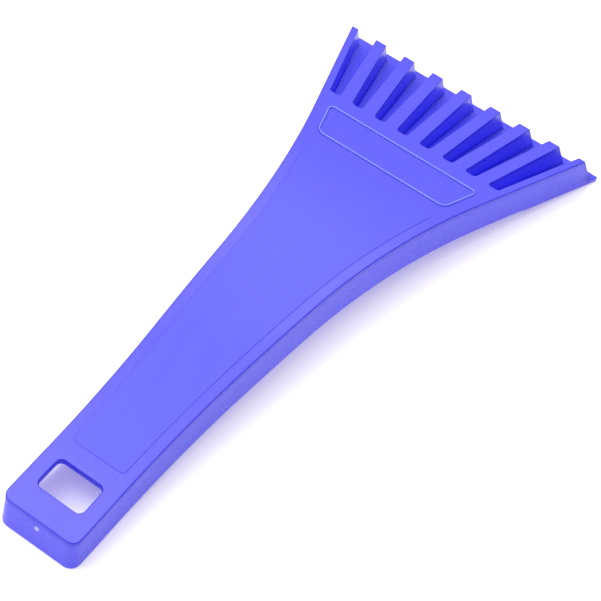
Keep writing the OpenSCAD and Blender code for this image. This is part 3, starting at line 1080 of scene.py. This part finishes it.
def grown_mesh(name, data, tree, values):
    """The mesh that a Geometry Nodes tree makes from a pattern mesh."""
    pattern = bpy.data.objects.new(name + "_pattern", data)
    bpy.context.scene.collection.objects.link(pattern)
    modifier = pattern.modifiers.new("Pattern", "NODES")
    modifier.node_group = tree
    for item in tree.interface.items_tree:
        if item.in_out == "INPUT" and item.name in values:
            modifier[item.identifier] = values[item.name]
    evaluated = pattern.evaluated_get(bpy.context.evaluated_depsgraph_get())
    grown = bpy.data.meshes.new_from_object(evaluated)
    grown.name = name
    pattern.modifiers.clear()
    bpy.data.objects.remove(pattern)
    if not grown.polygons:
        raise ValueError(f"the tree of {name} made no faces")
    return grown


def with_outward_faces(data):
    """Welds a grown mesh and turns its faces outwards."""
    shape = bmesh.new()
    shape.from_mesh(data)
    bmesh.ops.remove_doubles(shape, verts=shape.verts, dist=LEAST_EDGE)
    bmesh.ops.recalc_face_normals(shape, faces=shape.faces)
    shape.to_mesh(data)
    shape.free()
    return data


# Panel, frame and gate mark ------------------------------------------------------------------------


def strip_stations(form, start, end, margin, corner, steps):
    """Stations along the left side of a rounded strip that keeps a margin to the outline."""
    turns = quarter(CORNER_STEPS)
    places = [(start + corner * (1 - cos(t)), corner * (1 - sin(t)), (-cos(t), sin(t))) for t in turns]
    places += [(x, 0.0, (0, 1)) for x in evenly(start + corner, end - corner, steps)[1:-1]]
    places += [
        (end - corner * (1 - cos(t)), corner * (1 - sin(t)), (cos(t), sin(t))) for t in reversed(turns)
    ]
    return [
        Station(x, form.half_width(x) - margin - drop, out, 1.0, form.top(x), 0.0)
        for x, drop, out in places
    ]


PANEL_COLUMNS = 24
PANEL_STEPS = 60


def build_panel(form):
    """The grip panel: a low pad with rounded edges, whose base is sunk into the top."""
    t = form.trim
    start = t.hole_setback + t.hole_length + t.panel_gap
    stations = strip_stations(form, start, form.end - t.panel_end, t.panel_inset, t.panel_corner, PANEL_STEPS)
    edge = 0.8 * t.panel_proud
    profile = [(edge * (1 - sin(a)), t.panel_proud - edge * (1 - cos(a))) for a in quarter(ROUND_STEPS)]
    profile += [(0.0, -SUNK), (edge, -SUNK)]

    def section(station):
        points = []
        for inward, height in profile:
            point = station.point(inward, 0, 0)
            points.append(on_top(form, point.x, point.y) + Vector((0, 0, height)))
        return points

    skin = Skin()
    sections = [section(station) for station in stations]
    both_sides(skin, sections)
    upper = [points[0] for points in sections]
    base = [points[-1] for points in sections]
    shares = evenly(1.0, -1.0, PANEL_COLUMNS)
    for points in (sections[0], sections[-1], upper, base):
        skin.grid([across(point, shares) for point in points])
    return skin.mesh("grip_panel")


def frame_outline(form):
    """A loop of edges along the middle of the label frame's raised line."""
    t = form.trim
    half = t.frame_line / 2
    start = form.end - t.frame_end - t.frame_length + half
    end = form.end - t.frame_end - half
    stations = strip_stations(form, start, end, t.frame_inset + half, t.frame_corner - half, 8)
    left = [on_top(form, station.place.x, station.place.y) for station in stations]
    loop = left + mirrored(reversed(left))
    data = bpy.data.meshes.new("label_frame_outline")
    edges = [(i, (i + 1) % len(loop)) for i in range(len(loop))]
    data.from_pydata([(p.x + TAIL_X, p.y, p.z) for p in loop], edges, [])
    return data


def build_gate_mark(form):
    """The sheared stub of the moulding gate: a low cone with a torn, uneven end."""
    t = form.trim
    sides, rings = 32, 6
    lean = form.draft(0, t.gate_height)
    profile = [(1.12, -SUNK), (1.12, 0.0), (1.0, 0.12 * t.gate_length), (0.92, 0.7 * t.gate_length)]
    profile += [(0.84 * (1 - step / rings), t.gate_length) for step in range(rings)]
    rows = []
    for radius, out in profile:
        row = []
        for step in range(sides + 1):
            turn = 2 * pi * (step % sides) / sides
            torn = 0.0
            if out >= t.gate_length:
                torn = 0.22 * t.gate_length * (sin(3 * turn + 5 * radius) + 0.6 * sin(7 * turn) - 1.2)
            diamond = 1 - 0.1 * abs(sin(2 * turn)) if out > 0 else 1.0
            reach = t.gate_radius * 0.9 * radius * diamond
            row.append(Vector((-lean - out - torn, reach * cos(turn), t.gate_height + reach * sin(turn))))
        rows.append(row)
    tip = Vector((-lean - 0.8 * t.gate_length, 0, t.gate_height))
    rows.append([tip] * (sides + 1))
    rows.insert(0, [Vector((-lean + SUNK, 0, t.gate_height))] * (sides + 1))
    skin = Skin()
    skin.grid(rows)
    return skin.mesh("gate_mark")


# Materials ------------------------------------------------------------------------------------


class Surface(Nodes):
    """A procedural material under construction, with its Principled shader."""

    def __init__(self, name):
        self.material = bpy.data.materials.new(name)
        self.material.use_nodes = True
        super().__init__(self.material.node_tree)
        self.shader = self.tree.nodes["Principled BSDF"]
        self.place = self.node("ShaderNodeTexCoord").outputs["Object"]

    def noise(self, size, detail=2.0, stretch=(1, 1, 1)):
        """Noise whose features are about the given size, in metres."""
        scale = [1 / (size * part) for part in stretch]
        place = self.node("ShaderNodeMapping", {"Vector": self.place, "Scale": scale}).outputs[0]
        values = {"Vector": place, "Scale": 1.0, "Detail": detail}
        return self.node("ShaderNodeTexNoise", values).outputs["Fac"]

    def range(self, value, low, high, to_low, to_high):
        values = {"Value": value, "From Min": low, "From Max": high, "To Min": to_low, "To Max": to_high}
        return self.node("ShaderNodeMapRange", values).outputs[0]

    def blend(self, share, first, second):
        """The colour that lies the given share of the way between two colours or sockets."""
        values = {0: share}
        for key, value in ((6, first), (7, second)):
            values[key] = value if isinstance(value, bpy.types.NodeSocket) else (*value, 1.0)
        return self.node("ShaderNodeMix", values, data_type="RGBA").outputs[2]

    def bump(self, height, distance, normal=None):
        values = {"Height": height, "Distance": distance}
        if normal:
            values["Normal"] = normal
        return self.node("ShaderNodeBump", values).outputs[0]

    def link(self, socket, name):
        self.tree.links.new(socket, self.shader.inputs[name])


def moulded_plastic(name, base, looks, gloss, grain_size, grain_depth, painted_shade_share=1.0):
    """Translucent coloured plastic, cloudy on a broad scale, with a fine grain and faint flow marks, painted
    shade along its upper edges and a painted blue glow.
    """
    cloud_size, flow_size, gloss_patch, ripple_size = 34 * MM, 2.2 * MM, 7 * MM, 14 * MM
    ripple_depth = 0.02 * MM
    surface = Surface(name)
    pale, deep = [tuple(min(part * much, 1.0) for part in base) for much in (1.08, 0.92)]
    tone = surface.blend(surface.noise(cloud_size, 2.0, (1.6, 1.0, 1.0)), deep, pale)
    # painted shade: the colour turns towards a darker blue along upper edges, by the stored edge attribute
    edge = surface.node("ShaderNodeAttribute", attribute_name=PAINTED_SHADE_ATTRIBUTE).outputs["Fac"]
    dark = tuple(part * kept for part, kept in zip(base, (0.3, 0.3, 0.75)))
    shaded = surface.blend(surface.math("MULTIPLY", edge, looks.painted_edge_shade * painted_shade_share), tone, dark)
    flow = surface.noise(flow_size, 2.0, (8.0, 1.0, 1.0))
    colour = surface.blend(surface.range(flow, 0.2, 1.0, 0.0, 0.03), shaded, tuple(looks.scuff))
    surface.link(colour, "Base Color")
    rough = surface.range(surface.noise(gloss_patch, 2.0), 0.0, 1.0, gloss - 0.05, gloss + 0.05)
    surface.link(rough, "Roughness")
    soft = surface.bump(surface.noise(ripple_size, 1.0), ripple_depth)
    surface.link(surface.bump(surface.noise(grain_size, 2.0), grain_depth, soft), "Normal")
    shader = surface.shader.inputs
    shader["IOR"].default_value = 1.5
    # painted light: blue emission standing in for light carried through the translucent plastic
    shader["Emission Color"].default_value = (*looks.glow, 1.0)
    shader["Emission Strength"].default_value = looks.painted_glow_strength
    through = surface.node("ShaderNodeBsdfTranslucent", {"Color": colour}).outputs[0]
    values = {0: looks.translucency, 1: surface.shader.outputs[0], 2: through}
    mixed = surface.node("ShaderNodeMixShader", values).outputs[0]
    output = next(node for node in surface.tree.nodes if node.bl_idname == "ShaderNodeOutputMaterial")
    surface.tree.links.new(mixed, output.inputs["Surface"])
    return surface.material


def floor_material(looks):
    """Pale matt paper with a barely visible mottle."""
    surface = Surface("Studio floor")
    base = tuple(looks.floor)
    mottle = surface.noise(120 * MM, 2.0)
    surface.link(surface.blend(mottle, tuple(part * 0.99 for part in base), base), "Base Color")
    surface.link(surface.range(mottle, 0.3, 0.7, 0.85, 0.95), "Roughness")
    surface.shader.inputs["Specular IOR Level"].default_value = 0.1
    surface.shader.inputs["Emission Color"].default_value = (*looks.floor_glow, 1.0)
    surface.shader.inputs["Emission Strength"].default_value = 1.0
    return surface.material


def shell_plastic(looks):
    return moulded_plastic("Shell plastic", tuple(looks.shell), looks, 0.27, 0.45 * MM, 0.003 * MM)


# painted highlight: the frame's line gets a lighter blue than the shell
def highlit_ridge_plastic(looks):
    return moulded_plastic("Ridge plastic", tuple(looks.ridge_highlight), looks, 0.22, 0.45 * MM, 0.002 * MM)


def panel_plastic(looks):
    return moulded_plastic("Panel plastic", tuple(looks.panel), looks, 0.34, 0.3 * MM, 0.005 * MM)


def gate_plastic(looks):
    # the gate mark gets no painted edge shade
    return moulded_plastic("Gate plastic", tuple(looks.gate), looks, 0.5, 0.2 * MM, 0.02 * MM, 0.0)


# Operators ----------------------------------------------------------------------------------------


def settings_of(context):
    return context.scene.ice_scraper


class MakeShell(Operator):
    """Make the hollow shell with its hang hole, outermost ribs and scraper blade"""

    bl_idname = "ice_scraper.make_shell"
    bl_label = "Shell and Blade"

    def execute(self, context):
        settings = settings_of(context)
        nodes = ("top_deck", "left_side_wall", "right_side_wall", "tail_wall", "groove_end_wall",
                 "scraper_blade", "left_blade_cheek", "right_blade_cheek", RIB_NODES[0], RIB_NODES[-1])
        material = shell_plastic(settings.looks)
        add_piece("body_shell", build_shell(Form(settings)), material, nodes)
        return {"FINISHED"}


class MakeRibs(Operator):
    """Make the ice ribs between the outermost two, as a fan"""

    bl_idname = "ice_scraper.make_ribs"
    bl_label = "Ice Ribs"

    def execute(self, context):
        settings = settings_of(context)
        form = Form(settings)
        material = bpy.data.materials.get("Shell plastic") or shell_plastic(settings.looks)
        values = {
            "Count": len(RIB_NODES) - 2,
            "Root spacing": form.rib_pitch(form.root),
            "Tip spacing": form.rib_pitch(form.tip),
            "Root place": form.root + TAIL_X,
            "Tip place": form.tip + TAIL_X,
            "Material": material,
        }
        data = with_outward_faces(grown_mesh("ice_ribs", build_rib(form), fan_tree(), values))
        add_piece("ice_ribs", data, material, RIB_NODES[1:-1])
        return {"FINISHED"}


class MakePanel(Operator):
    """Make the raised grip panel of the handle"""

    bl_idname = "ice_scraper.make_panel"
    bl_label = "Grip Panel"

    def execute(self, context):
        settings = settings_of(context)
        material = panel_plastic(settings.looks)
        add_piece("handle_panel", build_panel(Form(settings)), material, ["grip_panel"])
        return {"FINISHED"}


class MakeFrame(Operator):
    """Make the fine raised frame round the empty label area"""

    bl_idname = "ice_scraper.make_frame"
    bl_label = "Label Frame"

    def execute(self, context):
        settings = settings_of(context)
        form = Form(settings)
        material = highlit_ridge_plastic(settings.looks)
        values = {"Width": form.trim.frame_line, "Height": form.trim.frame_proud, "Material": material}
        data = with_outward_faces(grown_mesh("label_line", frame_outline(form), sweep_tree(), values))
        add_piece("label_line", data, material, ["label_frame"])
        return {"FINISHED"}


class MakeGateMark(Operator):
    """Make the sheared stub of the moulding gate on the tail"""

    bl_idname = "ice_scraper.make_gate_mark"
    bl_label = "Gate Mark"

    def execute(self, context):
        settings = settings_of(context)
        material = gate_plastic(settings.looks)
        add_piece("gate_stub", build_gate_mark(Form(settings)), material, ["gate_mark"])
        return {"FINISHED"}


def camera_turn(stage):
    """The camera's orientation and its direction of view."""
    flat = Vector((cos(stage.heading), sin(stage.heading), 0))
    towards = -(flat * cos(stage.elevation) + Vector((0, 0, sin(stage.elevation))))
    level = towards.cross(Vector((0, 0, 1))).normalized()
    upright = level.cross(towards)
    right = level * cos(stage.roll) + upright * sin(stage.roll)
    up = right.cross(towards)
    turn = Matrix((right, up, -towards)).transposed()
    return turn, towards


def add_camera(stage):
    lens = bpy.data.cameras.new("Camera")
    lens.sensor_width = 36
    lens.lens = stage.focal_length
    lens.clip_start = 0.01
    camera = bpy.data.objects.new("Camera", lens)
    turn, towards = camera_turn(stage)
    place = Vector(stage.aim) - towards * stage.distance
    camera.matrix_world = Matrix.Translation(place) @ turn.to_4x4()
    bpy.context.scene.collection.objects.link(camera)
    bpy.context.scene.camera = camera


def add_area_light(name, place, size, power, tint):
    """A square area light that shines at the scraper's middle."""
    light = bpy.data.lights.new(name, "AREA")
    light.size = size
    light.energy = power
    light.color = tint
    lamp = bpy.data.objects.new(name, light)
    lamp.location = place
    lamp.rotation_euler = (-Vector(place)).to_track_quat("-Z", "Y").to_euler()
    bpy.context.scene.collection.objects.link(lamp)


KEY_PLACE = (-0.20, 0.48, 1.08)
KEY_SIZE = 0.9
FILL_PLACE = (0.55, 0.25, 0.75)
FILL_SIZE = 0.35
FLOOR_HALF = 3.0


def add_floor(looks):
    data = bpy.data.meshes.new("studio_floor")
    corners = [(x * FLOOR_HALF, y * FLOOR_HALF, 0) for x, y in ((-1, -1), (1, -1), (1, 1), (-1, 1))]
    data.from_pydata(corners, [], [(0, 1, 2, 3)])
    data.materials.append(floor_material(looks))
    floor = bpy.data.objects.new("studio_floor", data)
    bpy.context.scene.collection.objects.link(floor)


def add_sky(stage):
    """White surroundings that are brighter overhead than at the horizon."""
    world = bpy.data.worlds.new("Studio")
    world.use_nodes = True
    sky = Nodes(world.node_tree)
    direction = sky.node("ShaderNodeTexCoord").outputs["Generated"]
    height = sky.node("ShaderNodeSeparateXYZ", {0: direction}).outputs["Z"]
    values = {"Value": height, "To Min": stage.horizon, "To Max": stage.zenith}
    strength = sky.node("ShaderNodeMapRange", values).outputs[0]
    background = sky.tree.nodes["Background"].inputs
    sky.tree.links.new(strength, background["Strength"])
    background["Color"].default_value = (1.0, 1.0, 1.0, 1.0)
    bpy.context.scene.world = world


class MakeStage(Operator):
    """Make the pale floor, the soft studio light and the camera"""

    bl_idname = "ice_scraper.make_stage"
    bl_label = "Studio"

    def execute(self, context):
        settings = settings_of(context)
        stage = settings.stage
        add_floor(settings.looks)
        add_sky(stage)
        add_area_light("Key light", KEY_PLACE, KEY_SIZE, stage.key, (1.0, 0.99, 0.98))
        add_area_light("Fill light", FILL_PLACE, FILL_SIZE, stage.fill, (0.98, 0.99, 1.0))
        add_camera(stage)
        context.scene.view_settings.view_transform = "Standard"
        return {"FINISHED"}


class ScraperPanel(Panel):
    """Lists the scraper's operators and settings in the sidebar"""

    bl_idname = "VIEW3D_PT_ice_scraper"
    bl_label = "Ice Scraper"
    bl_space_type = "VIEW_3D"
    bl_region_type = "UI"
    bl_category = "Ice Scraper"

    def draw(self, context):
        column = self.layout.column(align=True)
        for maker in MAKERS:
            column.operator(maker.bl_idname, text=maker.bl_label)
        settings = settings_of(context)
        for group in ("outline", "profile", "head", "trim", "looks", "stage"):
            box = self.layout.box()
            box.label(text=group.capitalize())
            values = getattr(settings, group)
            for name in values.__annotations__:
                box.prop(values, name)


GROUPS = (ScraperOutline, ScraperProfile, ScraperHead, ScraperTrim, ScraperLooks, ScraperStage,
          ScraperSettings)
MAKERS = (MakeShell, MakeRibs, MakePanel, MakeFrame, MakeGateMark, MakeStage)


def register():
    for kind in GROUPS + MAKERS + (ScraperPanel,):
        bpy.utils.register_class(kind)
    bpy.types.Scene.ice_scraper = PointerProperty(type=ScraperSettings)


def unregister():
    del bpy.types.Scene.ice_scraper
    for kind in reversed(GROUPS + MAKERS + (ScraperPanel,)):
        bpy.utils.unregister_class(kind)


def main():
    """Makes every piece and the studio."""
    register()
    for maker in MAKERS:
        group, name = maker.bl_idname.split(".")
        getattr(getattr(bpy.ops, group), name)()


if __name__ == "__main__":
    main()
